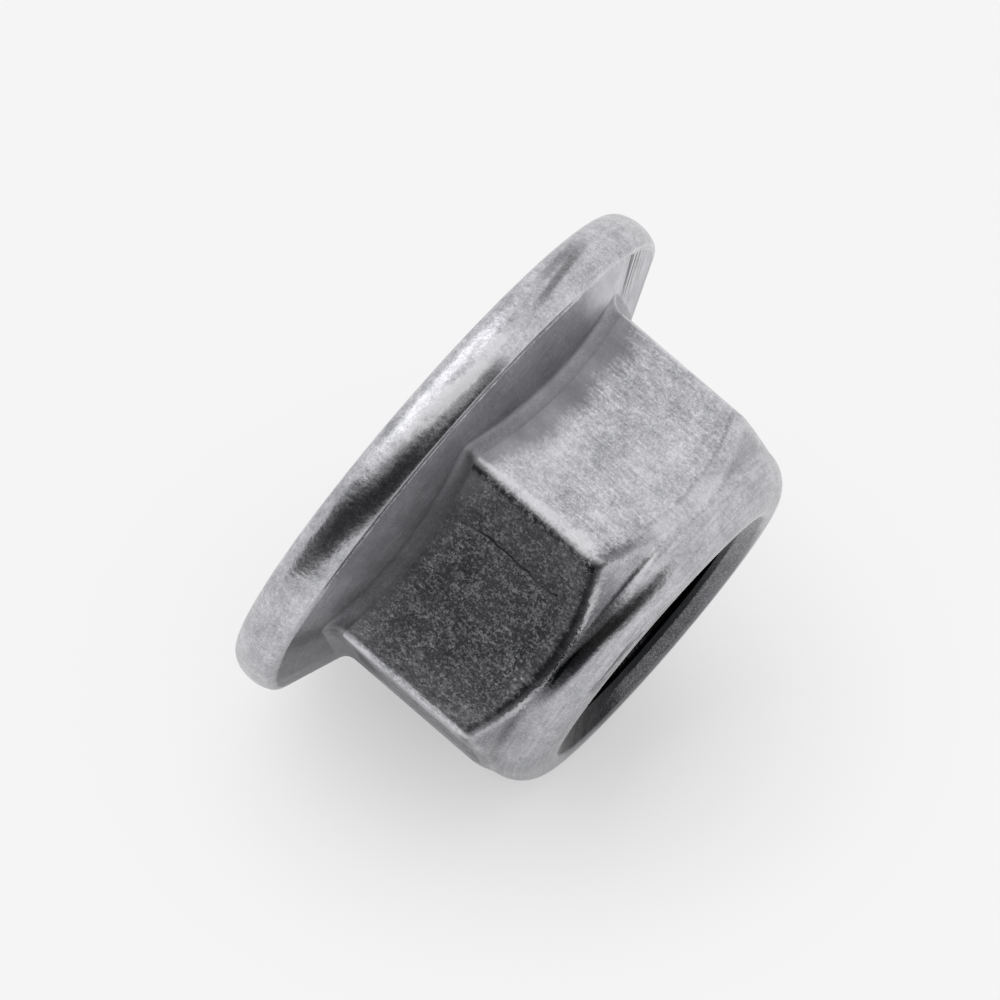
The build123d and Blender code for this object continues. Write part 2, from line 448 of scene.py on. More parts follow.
# below it the thread and the lower countersink are painted near black as shade
add_rows(
    bore_r, bore_z, grain=np.where(countersunk, 1.0, 0.2),
    residue=np.where(countersunk, mouth_dark, 4.0),
)
print("thread turns in the bore:", round(float(np.ptp(bore_z)) / THREAD_PITCH, 1))

# %% [markdown]
# Some marks belong to no row: dark and bright patches on the rim, and the dark streak and bright
# crease round the crown. The rim's dark patches are partly smudges that handling left and partly
# painted reflection of the dark surroundings, with small dark spots that break up the highlight;
# its bright patches are painted highlight. Round the crown the streak and the hollow are painted
# shade and the crease is a painted highlight. They are drawn over the finished grid. A patch is an
# oval whose fall is steep, so it has a body and an edge, and a sum of a few such ovals looks like
# one uneven patch. Each is set by the same six numbers, which keeps them easy to move.

# %% Smudges, painted reflection and painted highlight on the rim
grids = {name: np.concatenate(blocks) for name, blocks in rows.items()}
# azimuth in degrees; height, length and width in mm; climb for each mm round; strength
DARK_SMUDGES = (
    (187, 1.4, 6.9, 1.05, -0.06, 1.3),
    (178, 1.48, 4.6, 0.62, 0.0, 1.1),
    (208, 0.98, 3.2, 0.5, -0.03, 0.6),
    (140, 0.85, 3.8, 0.3, 0.12, 0.95),
    (137, 0.45, 3.0, 0.35, 0.05, 0.7),
    (165, 0.62, 0.9, 0.28, 0.0, 0.4),
    (171.5, 0.72, 0.8, 0.3, 0.0, 0.35),
    (180, 0.56, 0.7, 0.4, 0.0, 0.3),
)
BRIGHT_SMUDGES = (
    (169, 1.12, 2.6, 0.4, -0.1, 1.0),
    (177, 0.95, 4.0, 0.6, -0.05, 0.8),
    (160, 0.95, 2.2, 0.4, -0.15, 0.9),
    (186, 0.6, 3.0, 0.5, 0.0, 0.5),
)


def smudges(ovals):
    """Sum of ovals on the rim: each is its strength times the exponential of minus the fourth
    powers of the distances from its middle line, in half lengths and half widths."""
    total = np.zeros_like(grids["radius"])
    for azimuth, height, length, width, climb, strength in ovals:
        along = np.radians((np.degrees(THETA) - azimuth + 180) % 360 - 180) * FLANGE_RADIUS
        off = grids["height"] - height - climb * along
        total += strength * np.exp(-((along / length * 2) ** 4) - (off / width * 2) ** 4)
    return total * (grids["radius"] > RIM_EDGE_R - 0.01)


# lifted and then capped, so that a patch is evenly dark inside
grids["residue"] += np.clip(smudges(DARK_SMUDGES) * 1.6 - 0.15, 0, 1.27)
# painted highlight on the rim, widening the lamp's own
grids["worn"] += smudges(BRIGHT_SMUDGES) * 1.1
print("darkest smudge:", round(float(smudges(DARK_SMUDGES).max()), 2))

# %% Streak and crease round the crown: painted shade and painted highlight
# heights and half widths in mm; the streak sinks and the crease climbs as they go round
on_crown = grids["below_arc"] < 0
STREAK_HEIGHT, STREAK_START, STREAK_REACH, STREAK_FALL = 9.71, 171, 41, 0.4
HOLLOW_HEIGHT, HOLLOW_HALF = 9.2, 0.5
CREASE_HEIGHT, CREASE_START, CREASE_CLIMB, CREASE_HALF = 9.07, 170, 0.02, 0.13
degrees = np.degrees(THETA)
streak_height = STREAK_HEIGHT - STREAK_FALL * (degrees - STREAK_START) / STREAK_REACH
streak_half = 0.19 + 0.07 * toward(208, 9)
off_streak = (grids["height"] - streak_height) / streak_half
off_hollow = (grids["height"] - HOLLOW_HEIGHT) / HOLLOW_HALF
crease_height = CREASE_HEIGHT + CREASE_CLIMB * (degrees - CREASE_START)
off_crease = (grids["height"] - crease_height) / CREASE_HALF
# painted shade: the dark streak round the shoulder and the hollow under the collar
crown_dark = 2.6 * np.exp(-(off_streak**4)) * toward(197, 20)
crown_dark += 0.42 * np.exp(-(off_hollow**4)) * toward(230, 14)
grids["residue"] += crown_dark * on_crown
# painted highlight along the crease
grids["worn"] += 1.3 * np.exp(-(off_crease**4)) * toward(171, 12) * on_crown
ROWS, COLUMNS = grids["radius"].shape
print("rows:", ROWS, "triangles:", 2 * ROWS * COLUMNS)

# %% [markdown]
# The grid now becomes a mesh, its points and quads handed over as whole arrays. Each quad takes
# four neighbours, round the axis first and then along the section, which points its face
# outwards. Shading is smooth, and only crossings steeper than 38 degrees stay sharp. The marks go
# along as attributes with one number for each point. The mesh then takes the solid's place.

# %% Build the nut's mesh
SHARP_ANGLE = math.radians(38.0)


def closed_grid(name, radius, height):
    """Mesh of a grid closed both ways: a point is (radius cos angle, radius sin angle, height),
    and the quad at a row and column joins it with the next of each."""
    points = np.stack([radius * np.cos(THETA), radius * np.sin(THETA), height], axis=-1)
    index = np.arange(radius.size).reshape(radius.shape)
    beside, above = np.roll(index, -1, axis=1), np.roll(index, -1, axis=0)
    both = np.roll(above, -1, axis=1)
    quads = np.stack([index, beside, both, above], axis=-1).reshape(-1, 4)
    mesh = bpy.data.meshes.new(name)
    mesh.from_pydata((points.reshape(-1, 3) * MM).tolist(), [], quads.tolist())
    mesh.polygons.foreach_set("use_smooth", np.ones(len(mesh.polygons), bool))
    mesh.set_sharp_from_angle(angle=SHARP_ANGLE)
    return mesh


nut_mesh = closed_grid("nut_skin", grids["radius"], grids["height"])
for name in PLAIN:
    layer = nut_mesh.attributes.new(name, "FLOAT", "POINT")
    layer.data.foreach_set("value", grids[name].ravel())
nut = bpy.data.objects.new("serrated_flange_nut", nut_mesh)
bpy.context.collection.objects.link(nut)
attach(nut, "root")
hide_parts("flange_nut")
print("mesh closed:", nut_mesh.validate() is False, "vertices:", len(nut_mesh.vertices))

# %% [markdown]
# Colours are written as the hex values that a colour picker shows. Blender mixes light in linear
# values, so one function turns them. A second small function adds a node to a material, sets its
# inputs and links it, so that each material reads as a list of what it is made of.

# %% Helpers for materials
def linear(hex_colour, alpha=1.0):
    """Linear RGBA of an sRGB hex colour: each channel over 12.92 near black, and above that its
    2.4th power once 0.055 is added and divided out."""
    parts = [int(hex_colour[i : i + 2], 16) / 255 for i in (1, 3, 5)]
    curve = [c / 12.92 if c <= 0.04045 else ((c + 0.055) / 1.055) ** 2.4 for c in parts]
    return (*curve, alpha)


def add_node(tree, kind, settings=None, stops=(), **inputs):
    """Adds a node and returns it. Settings are its own properties, or the one word of its
    operation. Stops are a ramp's (position, hex colour) pairs. Each input is a value, a socket or
    a node whose first output in use is linked; its name has underscores for spaces, or is in0,
    in1 and so on for its place."""
    node = tree.nodes.new("ShaderNode" + kind)
    if isinstance(settings, str):
        settings = {"operation": settings}
    for key, value in (settings or {}).items():
        setattr(node, key, value)
    for key, value in inputs.items():
        socket = node.inputs[int(key[2:]) if key[2:].isdigit() else key.replace("_", " ")]
        if isinstance(value, bpy.types.Node):
            value = next(out for out in value.outputs if out.enabled)
        if isinstance(value, bpy.types.NodeSocket):
            tree.links.new(value, socket)
        else:
            socket.default_value = value
    while 0 < len(stops) > len(node.color_ramp.elements):
        node.color_ramp.elements.new(1.0)
    for number, (position, colour) in enumerate(stops):
        node.color_ramp.elements[number].position = position
        node.color_ramp.elements[number].color = linear(colour)
    return node


def new_material(name):
    """Empty node material, and its tree."""
    material = bpy.data.materials.new(name)
    material.use_nodes = True
    material.node_tree.nodes.clear()
    return material, material.node_tree


print("mid grey #808080 in linear light:", round(linear("#808080")[0], 3))

# %% [markdown]
# Such a nut is made from zinc-phosphated steel wire: fine grey crystals hold the soap that lets
# the metal slip through the dies. Forming smears that film, wear polishes it to bare metal on the
# edges, and soap and oil stay dark where nothing rubs. To the eye it is a satin metal, mottled in
# greys, with black hollows and bright edges; here those darks and brights are partly painted shade
# and painted highlight. An image could hold all that for one side only. Here the marks of the rows
# say where, and noises say how uneven, so it holds from every side.

# %% Nut: places the patterns are measured from
steel, tree = new_material("cold_formed_steel")
spot = add_node(tree, "TexCoord").outputs["Object"]
mm = add_node(tree, "VectorMath", "SCALE", in0=spot, Scale=1 / MM)
axes = add_node(tree, "SeparateXYZ", Vector=mm)
from_axis = add_node(tree, "VectorMath", "MULTIPLY", in0=mm, in1=(1, 1, 0))
from_axis = add_node(tree, "VectorMath", "LENGTH", in0=from_axis).outputs["Value"]
round_axis = add_node(tree, "Math", "ARCTAN2", in0=axes.outputs["Y"], in1=axes.outputs["X"])
# drawn out ten times round the axis, for the lines that a turning or ironing tool leaves
on_section = add_node(tree, "Math", "MULTIPLY_ADD", in0=from_axis, in1=-1.3,
                      in2=axes.outputs["Z"])
low_xy = add_node(tree, "VectorMath", "MULTIPLY", in0=mm, in1=(0.1, 0.1, 0))
around = add_node(tree, "CombineXYZ", Z=on_section)
around = add_node(tree, "VectorMath", "ADD", in0=low_xy, in1=around)
# drawn out ten times along the axis, for the lines of the die on the flats
upright = add_node(tree, "VectorMath", "MULTIPLY", in0=mm, in1=(1, 1, 0.1))
# round the axis and hardly along the cone, for the creases that run up it
along_crease = add_node(tree, "Math", "MULTIPLY", in0=from_axis, in1=0.01)
crease_spot = add_node(tree, "CombineXYZ", X=round_axis, Y=along_crease)
print("places:", len(tree.nodes), "nodes")

# %% [markdown]
# Every unevenness of this finish has a size, and each noise is scaled to one of them. Phosphate
# crystals are about 0.01 to 0.03 mm across, too fine to show from here, so the grain and the fine
# grain are drawn as clusters of crystals, as coarse as it takes to see them. Blotches and clouds
# are how unevenly soap lies on the wire. The lines are the traces of the dies, and the creases
# are where metal lapped over itself at the flange's rim.

# %% Nut: noises and their sizes in mm
GRAIN, FINE, BLOTCH, CLOUD = 0.125, 0.06, 0.42, 1.3
RING_LINE, DIE_LINE, CREASE = 0.16, 0.09, 0.25
CREASE_RADIUS = 9.5              # turns a crease's size into an angle at the rim
grain = add_node(tree, "TexNoise", Vector=mm, Scale=1 / GRAIN, Detail=3.0, Roughness=0.65)
fine = add_node(tree, "TexNoise", Vector=mm, Scale=1 / FINE, Detail=1.0, Roughness=0.6)
blotch = add_node(tree, "TexNoise", Vector=mm, Scale=1 / BLOTCH, Detail=2.0, Roughness=0.6)
clouds = add_node(tree, "TexNoise", Vector=mm, Scale=1 / CLOUD, Detail=3.0, Roughness=0.55)
rings = add_node(tree, "TexNoise", Vector=around, Scale=1 / RING_LINE, Detail=3.0, Roughness=0.6)
lines = add_node(tree, "TexNoise", Vector=upright, Scale=1 / DIE_LINE, Detail=2.0, Roughness=0.6)
folds = add_node(tree, "TexNoise", Vector=crease_spot, Scale=CREASE_RADIUS / CREASE,
                 Detail=2.0, Roughness=0.6)
held = {
    name: add_node(tree, "Attribute", {"attribute_name": name}).outputs["Fac"] for name in PLAIN
}
print("attributes read:", len(held))

# %% [markdown]
# At the foot of each flat the die ironed the film smooth. The band ends about 0.9 mm above the
# fillet, and its edge is frayed because the film was uneven before. A noise alone couldn't know
# where the foot is, and a height alone would draw a ruled line. So the height above the fillet,
# which the rows carry, is shifted by the noises before it is cut off. All the edges of this
# finish are made like that.

# %% Nut: smooth band above the fillet
band = -0.5
for noise, weight in ((clouds, 1.0), (lines, 0.35), (grain, 0.85), (held["above_fillet"], 1.0)):
    band = add_node(tree, "Math", "MULTIPLY_ADD", in0=noise, in1=weight, in2=band)
band = add_node(tree, "MapRange", Value=band, From_Min=1.15, From_Max=1.85)
in_band = add_node(tree, "Math", "SUBTRACT", in0=1.0, in1=band)
mottled = add_node(tree, "Math", "MULTIPLY_ADD", in0=in_band, in1=-0.75, in2=1.0)
mottled = add_node(tree, "Math", "MULTIPLY", in0=held["grain"], in1=mottled)
print("band:", len(tree.nodes), "nodes so far")

# %% Nut: the mottled film
marks = add_node(tree, "Mix", {"data_type": "FLOAT"}, in0=held["drawn"], in2=rings, in3=lines)
mottle = -0.685                  # brings the middle of the sum to 0
for noise, weight in ((grain, 0.45), (fine, 0.35), (blotch, 0.25), (marks, 0.32)):
    mottle = add_node(tree, "Math", "MULTIPLY_ADD", in0=noise, in1=weight, in2=mottle)
mottle = add_node(tree, "Math", "MULTIPLY", in0=mottle, in1=mottled)
drift = add_node(tree, "Math", "MULTIPLY_ADD", in0=clouds, in1=0.2, in2=0.4)
mottle = add_node(tree, "Math", "ADD", in0=mottle, in1=drift)
FILM_GREYS = ((0.3, "#7e7f84"), (0.5, "#b4b4b9"), (0.7, "#e4e4e8"))
film = add_node(tree, "ValToRGB", Fac=mottle, stops=FILM_GREYS)
print("film, from dark to light:", [colour for _, colour in FILM_GREYS])

# %% [markdown]
# The rows' darkening is partly dark coat of burnt soap and oil and partly painted shade, and both
# are drawn in the coat's colour. It thins out in grains, and where it lies thick on a flat the
# tips of the crystal clusters still show through as light specks. The amount that a row carries is
# therefore multiplied twice: by a coarse noise, for a frayed outline, and by one less the specks.

# %% Nut: dark coat, painted shade and their specks
SMOOTH = {"interpolation_type": "SMOOTHSTEP"}
noise_edge = -1.3                # brings the middle of the sum to 0
for noise, weight in ((grain, 1.4), (blotch, 1.2)):
    noise_edge = add_node(tree, "Math", "MULTIPLY_ADD", in0=noise, in1=weight, in2=noise_edge)
calm = add_node(tree, "Math", "MULTIPLY_ADD", in0=in_band, in1=-0.8, in2=1.0)
noise_edge = add_node(tree, "Math", "MULTIPLY", in0=noise_edge, in1=calm)
coat = held["residue"]
coat = add_node(tree, "Math", "MULTIPLY_ADD", in0=noise_edge, in1=coat, in2=coat)
speck = grain
for noise, weight in ((fine, 0.6), (blotch, 0.55)):
    speck = add_node(tree, "Math", "MULTIPLY_ADD", in0=noise, in1=weight, in2=speck)
speck = add_node(tree, "MapRange", SMOOTH, Value=speck, From_Min=0.94, From_Max=1.31, To_Max=1.15)
on_flats = add_node(tree, "Math", "MULTIPLY_ADD", in0=held["drawn"], in1=0.65, in2=0.35)
on_flats = add_node(tree, "Math", "MULTIPLY", in0=mottled, in1=on_flats)
speck = add_node(tree, "Math", "MULTIPLY", in0=speck, in1=on_flats)
speck = add_node(tree, "Math", "SUBTRACT", in0=1.0, in1=speck)
coat = add_node(tree, "Math", "MULTIPLY", in0=coat, in1=speck)
print("dark coat:", len(tree.nodes), "nodes so far")

# %% [markdown]
# Where a flat meets its chamfer, the crossing is drawn as a bright line, partly polish from the
# die's mouth and partly painted highlight, and just under it a dark line of painted shade, strong
# on the shaded flat and faint on the lit ones. Modelled grooves would be a tenth of a millimetre
# and need a far finer grid. As the rows know their distance below the arc, each line is only a
# range of that distance in mm.

# %% Nut: painted shade under the arcs
arc_place = add_node(tree, "Math", "MULTIPLY_ADD", in0=noise_edge, in1=0.22, in2=held["below_arc"])
not_past = add_node(tree, "MapRange", SMOOTH, Value=arc_place, From_Min=-0.03, From_Max=0.03)
# painted shade: a dark line under each arc, and a faint one under the arcs of the lit flats
dark_line = add_node(tree, "MapRange", SMOOTH, Value=arc_place, From_Min=0.5, From_Max=0.24,
                     To_Max=held["arc_stain"])
dark_line = add_node(tree, "Math", "MULTIPLY", in0=dark_line, in1=not_past)
# a band just under the dark line takes less of the darkening, in step with the painted shade
rubbed = add_node(tree, "MapRange", SMOOTH, Value=held["below_arc"], From_Min=0.95, From_Max=0.7,
                  To_Max=held["arc_stain"])
rubbed = add_node(tree, "Math", "MULTIPLY", in0=rubbed, in1=not_past)
rubbed = add_node(tree, "Math", "MULTIPLY_ADD", in0=rubbed, in1=-0.27, in2=1.0)
coat = add_node(tree, "Math", "MULTIPLY", in0=coat, in1=rubbed)
light_side = add_node(tree, "MapRange", Value=held["arc_stain"], From_Min=0.5, From_Max=0.2)
faint_line = add_node(tree, "Math", "SUBTRACT", in0=arc_place, in1=0.48)
faint_line = add_node(tree, "Math", "ABSOLUTE", in0=faint_line)
faint_line = add_node(tree, "MapRange", Value=faint_line, From_Min=0.11, From_Max=0.03,
                      To_Max=0.42)
faint_line = add_node(tree, "Math", "MULTIPLY", in0=faint_line, in1=light_side)
print("dark arc lines:", len(tree.nodes), "nodes so far")

# %% Nut: bright lines on the arcs, wear and painted highlight
# the bright arc line is polish and painted highlight; its width follows lit_edge
bright_width = add_node(tree, "Math", "MULTIPLY_ADD", in0=held["arc_stain"], in1=-0.15, in2=0.3)
bright_width = add_node(tree, "Math", "MULTIPLY", in0=bright_width, in1=held["lit_edge"])
bright_line = add_node(tree, "Math", "ADD", in0=arc_place, in1=0.07)
bright_line = add_node(tree, "Math", "ABSOLUTE", in0=bright_line)
bright_line = add_node(tree, "MapRange", SMOOTH, Value=bright_line, From_Min=bright_width,
                       From_Max=0.0, To_Max=0.75)
# painted highlight in a band under the arcs of the lit flats
bright_band = add_node(tree, "MapRange", SMOOTH, Value=arc_place, From_Min=0.46, From_Max=0.32,
                       To_Max=0.6)
bright_band = add_node(tree, "Math", "MULTIPLY", in0=bright_band, in1=not_past)
bright_band = add_node(tree, "Math", "MULTIPLY", in0=bright_band, in1=light_side)
print("bright arc lines:", len(tree.nodes), "nodes so far")

# %% [markdown]
# A few marks are lines in themselves: dark rings round the crown's shoulder, creases up the
# flange's cone, and one scratch down the dark flat. Rings and creases are the low places of a
# noise that was drawn out along them. The scratch is where the distance beside it is nearly zero,
# bent by the clouds and worn away in patches. Whichever mark is darkest at a place is the one
# that shows, so they are joined by taking the greater.

# %% Nut: rings, creases and the scratch
patchy = add_node(tree, "MapRange", Value=clouds, From_Min=0.4, From_Max=0.6, To_Min=0.5)
ring = add_node(tree, "MapRange", Value=rings, From_Min=0.52, From_Max=0.42, To_Max=1.2)
ring = add_node(tree, "Math", "MULTIPLY", in0=ring, in1=held["ringed"])
crease = add_node(tree, "MapRange", Value=folds, From_Min=0.53, From_Max=0.38, To_Max=1.3)
crease = add_node(tree, "Math", "MULTIPLY", in0=crease, in1=held["folded"])
scratch = held["scratch"]        # mm from it, bent by the noises
for noise, weight in ((noise_edge, 0.04), (clouds, 0.6)):
    scratch = add_node(tree, "Math", "MULTIPLY_ADD", in0=noise, in1=weight, in2=scratch)
scratch = add_node(tree, "Math", "ABSOLUTE", in0=scratch)
scratch = add_node(tree, "MapRange", Value=scratch, From_Min=0.08, From_Max=0.02, To_Max=1.9)
scratch = add_node(tree, "Math", "MULTIPLY", in0=scratch, in1=patchy)
front_side = add_node(tree, "Math", "LESS_THAN", in0=axes.outputs["X"], in1=0.0)
scratch = add_node(tree, "Math", "MULTIPLY", in0=scratch, in1=front_side)
# painted shade in the smooth band above the fillet
in_stain = add_node(tree, "Math", "MULTIPLY", in0=in_band, in1=held["band_stain"])
for mark in (ring, crease, in_stain, dark_line, faint_line, scratch):
    coat = add_node(tree, "Math", "MAXIMUM", in0=coat, in1=mark)
print("marks over the coat:", len(tree.nodes), "nodes so far")

# %% [markdown]
# Wear comes last on a real nut, so the brightening, which is wear and painted highlight, goes over
# the darkening of coat and painted shade. It shows bare steel, a little brighter than the film,
# and stays out of the creases. Neither the darkening nor the brightening hides what is under it
# wholly, or the mottle would end at their edges like paint.

# %% Nut: colour of coat and painted shade, and of bare metal and painted highlight
CLAMPED = {"use_clamp": True}
COAT_DARK, BARE_METAL = "#1b1c20", "#e4e4e7"
COAT_COVER, WEAR_COVER = 0.62, 0.75
wear = held["worn"]
wear = add_node(tree, "Math", "MULTIPLY_ADD", in0=noise_edge, in1=wear, in2=wear)
for mark in (bright_line, bright_band):
    wear = add_node(tree, "Math", "MAXIMUM", in0=wear, in1=mark)
wear = add_node(tree, "Math", "MULTIPLY", in0=wear, in1=patchy)
wear = add_node(tree, "Math", {"operation": "SUBTRACT", **CLAMPED}, in0=wear, in1=crease)
wear = add_node(tree, "Math", {"operation": "MULTIPLY", **CLAMPED}, in0=wear, in1=WEAR_COVER)
coat = add_node(tree, "Math", {"operation": "MULTIPLY", **CLAMPED}, in0=coat, in1=COAT_COVER)
colour = add_node(tree, "Mix", {"data_type": "RGBA"}, in0=coat, in6=film, in7=linear(COAT_DARK))
colour = add_node(tree, "Mix", {"data_type": "RGBA"}, in0=wear, in6=colour, in7=linear(BARE_METAL))
print("coat and bare metal:", COAT_DARK, BARE_METAL)

# %% [markdown]
# To the eye the nut is satin: highlights are broad, and broken up by the grain. Roughness starts
# from about 0.25, that of smooth formed steel, and is higher on the flats, where the film is
# thick, and in the dulled band at their foot. The relief of the film is hundredths of a
# millimetre, far too fine for the mesh, so it is bump. It shapes only the light and never the
# outline, which is all such a film does.

# %% Nut: roughness, relief and shader
CLOUD_RELIEF, GRAIN_RELIEF = 0.03, 0.018    # mm
rough = add_node(tree, "Math", "MULTIPLY_ADD", in0=on_flats, in1=0.1, in2=0.24)
rough = add_node(tree, "Math", "MULTIPLY_ADD", in0=in_band, in1=0.2, in2=rough)
rough_grain = add_node(tree, "Math", "MULTIPLY_ADD", in0=grain, in1=0.2, in2=-0.1)
rough = add_node(tree, "Math", "MULTIPLY_ADD", in0=rough_grain, in1=mottled, in2=rough)
relief = 0.0
for noise, weight in ((grain, 0.45), (fine, 0.12), (marks, 0.2), (blotch, 1.0)):
    relief = add_node(tree, "Math", "MULTIPLY_ADD", in0=noise, in1=weight, in2=relief)
relief = add_node(tree, "Math", "MULTIPLY", in0=relief, in1=mottled)
bump = add_node(tree, "Bump", Height=clouds, Strength=1.0, Distance=CLOUD_RELIEF * MM)
bump = add_node(tree, "Bump", Height=relief, Strength=1.0, Distance=GRAIN_RELIEF * MM, Normal=bump)
shader = add_node(tree, "BsdfPrincipled", Base_Color=colour, Roughness=rough, Metallic=1.0,
                  Normal=bump)
add_node(tree, "OutputMaterial", Surface=shader)
nut_mesh.materials.append(steel)
print("cold formed steel:", len(tree.nodes), "nodes,", len(tree.links), "links")

# %% [markdown]
# The nut lies on a table, resting on its collar and the rim of its flange, and is seen from about
# 48 degrees above that table. The nut could be tipped over, but a part keeps the place it has in
# the frame, so its axis stays upright and the camera is turned instead: it is low beside the nut,
# and rolled until the axis runs down to the right. A long lens far away keeps the nut's sides
# nearly parallel. The framing comes from turning the camera a little and not from lens shift,
# because other views would keep a shift.

# %% Where the camera is
VIEW_AZIMUTH = math.radians(183.6)
VIEW_ELEVATION = math.radians(6.12)
AXIS_SLOPE = math.radians(40.65)     # the axis in the picture, below the horizontal
VIEW_DISTANCE = 350.0
PICTURE_WIDTH = 1000                 # pixels
PIXELS_PER_MM = 30.26
PICTURE_SHIFT = (29.5, 24.0)         # pixels: the nut's middle, right of and below the picture's
SENSOR = 36.0

level = math.cos(VIEW_ELEVATION)
to_camera = Vector(
    (level * math.cos(VIEW_AZIMUTH), level * math.sin(VIEW_AZIMUTH), math.sin(VIEW_ELEVATION))
)
axis_up = (Vector((0, 0, 1)) - to_camera * to_camera.z).normalized()
axis_side = axis_up.cross(to_camera)
picture_right = axis_up * math.cos(AXIS_SLOPE) - axis_side * math.sin(AXIS_SLOPE)
picture_down = axis_up * math.sin(AXIS_SLOPE) + axis_side * math.cos(AXIS_SLOPE)


def seen_as(rightward, upward, nearer):
    """Direction in the nut's frame of one given as the camera sees it: the sum of the three
    picture directions, each by its amount."""
    return (picture_right * rightward - picture_down * upward + to_camera * nearer).normalized()


print("direction to the camera:", [round(v, 3) for v in to_camera])

# %% The camera
look_at = Vector((0, 0, 4.62))       # middle of the nut's outline
eye = look_at + to_camera * VIEW_DISTANCE
offset = picture_right * PICTURE_SHIFT[0] + picture_down * PICTURE_SHIFT[1]
look_back = (eye - look_at + offset / PIXELS_PER_MM).normalized()
look_right = (picture_right - look_back * look_back.dot(picture_right)).normalized()
camera_turn = Matrix((look_right, look_back.cross(look_right), look_back)).transposed()
camera_data = bpy.data.cameras.new("camera")
camera_data.sensor_width = SENSOR
camera_data.lens = PIXELS_PER_MM * VIEW_DISTANCE * SENSOR / PICTURE_WIDTH
camera_data.clip_start, camera_data.clip_end = 0.01, 10.0
camera = bpy.data.objects.new("camera", camera_data)
bpy.context.collection.objects.link(camera)
camera.matrix_world = Matrix.Translation(eye * MM) @ camera_turn.to_4x4()
bpy.context.scene.camera = camera
print("lens, mm:", round(camera_data.lens, 1))

# %% [markdown]
# The table touches the nut at two places, the flange's rim and the foot of the crown's collar on
# the side of the flat that faces down. A line through both lies in the table, and so does the
# line across it, which fixes the plane. The touch points are set a tenth of a millimetre outside
# the metal, so the sheet drawn there never cuts into it.

# %% The table's plane
REST_AZIMUTH = math.radians(330.0)   # the flat that faces the table
RIM_GAP, COLLAR_GAP = 0.11, 0.07
rest_out = Vector((math.cos(REST_AZIMUTH), math.sin(REST_AZIMUTH), 0))
rim_touch = rest_out * (FLANGE_RADIUS + RIM_GAP) + Vector((0, 0, RIM_HALF_HEIGHT))
collar_touch = rest_out * (FLAT_DISTANCE + COLLAR_GAP) + Vector((0, 0, COLLAR_BASE))
along_table = (collar_touch - rim_touch).normalized()
across_table = along_table.cross(rest_out).normalized()
table_normal = along_table.cross(across_table).normalized()
if table_normal.dot(rest_out) > 0:
    table_normal = -table_normal
table_front = (to_camera - table_normal * to_camera.dot(table_normal)).normalized()
table_right = table_normal.cross(table_front)
table_place = look_at - table_normal * (look_at - rim_touch).dot(table_normal)
camera_height = math.degrees(math.asin(to_camera.dot(table_normal)))
print("camera above the table, degrees:", round(camera_height, 1))

# %% [markdown]
# Metal shows what stands round it more than it shows its lamps. In a studio, cards are stood up
# beside the metal: black ones give the dark flat and the dark line along the rim, and a grey one
# tones the rest. Lamps could be moved until the same darks appear, but they would also move the
# light on the table. So the world is a plain pale studio, and bent cards stand in it which only
# reflections can see. They are stage, not part of the nut.

# %% World
PALE = "#f5f5f5"
world = bpy.data.worlds.new("studio")
bpy.context.scene.world = world
world.use_nodes = True
background = world.node_tree.nodes["Background"]
background.inputs["Color"].default_value = linear(PALE)
background.inputs["Strength"].default_value = 1.0
bpy.context.scene.view_settings.view_transform = "Standard"
print("world:", PALE)

# %% Cards as bent surfaces
REFLECTED_ONLY = dict(camera=False, diffuse=False, shadow=False, transmission=False)
CARD_COLUMNS = 40


def stage_object(name, mesh, material, **seen):
    """Puts a mesh on the stage with its material, unseen by the kinds of ray set to False."""
    thing = bpy.data.objects.new(name, mesh)
    mesh.materials.append(material)
    bpy.context.collection.objects.link(thing)
    for key, value in seen.items():
        setattr(thing, "visible_" + key, value)
    return thing


def card_mesh(name, bearings, profile):
    """A card bent round the nut: its profile of (distance, height) points over the table is
    turned about the table's normal from one bearing to the other."""
    bearing = np.radians(np.linspace(*bearings, CARD_COLUMNS))[None, :, None]
    distance, height = np.array(profile).T[:, :, None, None]
    front, right_hand, up = (np.array(v) for v in (table_front, table_right, table_normal))
    points = np.array(table_place) + height * up
    points = points + distance * (np.cos(bearing) * front + np.sin(bearing) * right_hand)
    index = np.arange(points[..., 0].size).reshape(points.shape[:2])
    quads = np.stack([index[:-1, :-1], index[1:, :-1], index[1:, 1:], index[:-1, 1:]], -1)
    mesh = bpy.data.meshes.new(name)
    mesh.from_pydata((points.reshape(-1, 3) * MM).tolist(), [], quads.reshape(-1, 4).tolist())
    return mesh


# bearings in degrees, positive to the right of the viewer; profiles in mm
BLACK_CARDS = {
    "left_screen": ((-75, -20), ((56.0, 0.3), (150.0, 0.3), (150.0, 100.0))),
    "front_screen": ((-20, 18), ((150.0, 0.3), (150.0, 167.0))),
    "right_screen": ((18, 60), ((150.0, 0.3), (150.0, 101.0))),
}
GREY_CARD = ((-60, 115), ((12.0, 0.3), (140.0, 0.3), (140.0, 50.0), (140.0, 98.0)))
print("cards:", len(BLACK_CARDS) + 1)

# %% Black and grey card
# Matt black card in studio light still sends back a little, drawn here as a faint even glow. The
# grey card is seen only by light's second reflection, so it tones the hollows and nothing else.
black, tree = new_material("black_card")
glow = add_node(tree, "Emission", Color=linear("#454545"), Strength=1.0)
add_node(tree, "OutputMaterial", Surface=glow)
for name, (bearings, profile) in BLACK_CARDS.items():
    stage_object(name, card_mesh(name, bearings, profile), black, **REFLECTED_ONLY)

